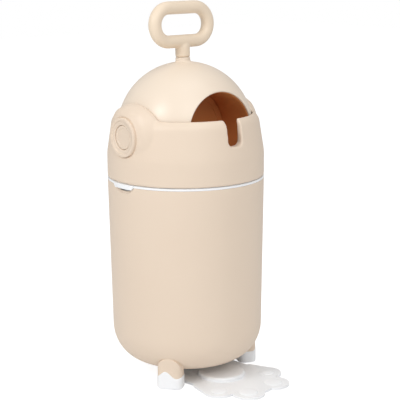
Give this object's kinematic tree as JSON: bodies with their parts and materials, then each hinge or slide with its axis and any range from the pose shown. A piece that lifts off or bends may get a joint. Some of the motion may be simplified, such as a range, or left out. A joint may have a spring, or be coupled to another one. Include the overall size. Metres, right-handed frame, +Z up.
{
  "type": "nappy bin",
  "caption": "Tall round nappy bin with a rounded bottom on short legs, a ball shaped drum that flips over on side hubs, a loop handle and a paw shaped foot plate.",
  "frame": {"origin": "on the floor under the middle of the bin, in the sole of the foot plate", "axes": "+Z up, the mouth and the foot plate face -Y, the hubs of the drum lie on X"},
  "size_m": [0.2856, 0.3514, 0.6698],
  "materials": {
    "beige_shell": "fine matte moulded plastic",
    "dome_shell": "smooth satin moulded plastic",
    "beige_handle": "smooth satin moulded plastic",
    "tube_brown": "matte moulded plastic",
    "white_plastic": "satin moulded plastic",
    "white_soft": "smooth soft moulded pads",
    "grey_rubber": "matte rubber",
    "steel": "plated steel"
  },
  "bodies": {
    "base": {"base_shell": "beige_shell", "foot_front_left": "white_plastic", "foot_front_right": "white_plastic", "foot_back": "white_plastic", "foot_grips": "grey_rubber", "foot_screws": "steel", "plate_guide": "white_plastic", "guide_screws": "steel"},
    "plate": {"foot_plate": "white_plastic", "main_pad": "white_soft", "toe_pads": "white_soft", "plate_soles": "grey_rubber"},
    "ring": {"bag_ring": "white_plastic"},
    "head": {"head_shell": "beige_shell", "drum_cradle": "beige_shell", "outlet_seal": "grey_rubber", "drum_seal": "grey_rubber", "cradle_screws": "steel", "pivot_bush_left": "white_plastic", "pivot_bush_right": "white_plastic", "hub_ring_left": "beige_shell", "hub_ring_right": "beige_shell"},
    "drum": {"drum_shell": "dome_shell", "drop_tube": "tube_brown", "pivot_pin_left": "steel", "pivot_pin_right": "steel", "pivot_cap_left": "beige_shell", "pivot_cap_right": "beige_shell", "handle": "beige_handle", "handle_screw": "steel"},
    "plunger": {"plunger": "tube_brown", "plunger_seal": "grey_rubber"}
  },
  "joints": [
    {"name": "plate_slide", "type": "slide", "parent": "base", "child": "plate", "axis": [0.1045, -0.9945, 0], "range_m": [0, 0.095]},
    {"name": "ring_lift", "type": "slide", "parent": "base", "child": "ring", "axis": [0, 0, 1], "range_m": [0, 0.06]},
    {"name": "head_lift", "type": "slide", "parent": "ring", "child": "head", "axis": [0, 0, 1], "range_m": [0, 0.08]},
    {"name": "drum_flip", "type": "hinge", "parent": "head", "child": "drum", "pos_m": [0, 0, 0.4442], "axis": [1, 0, 0], "range_deg": [-87.6, 92.4]},
    {"name": "plunger_slide", "type": "slide", "parent": "drum", "child": "plunger", "axis": [0, -0.9991, 0.0419], "range_m": [-0.105, 0.069]}
  ]
}
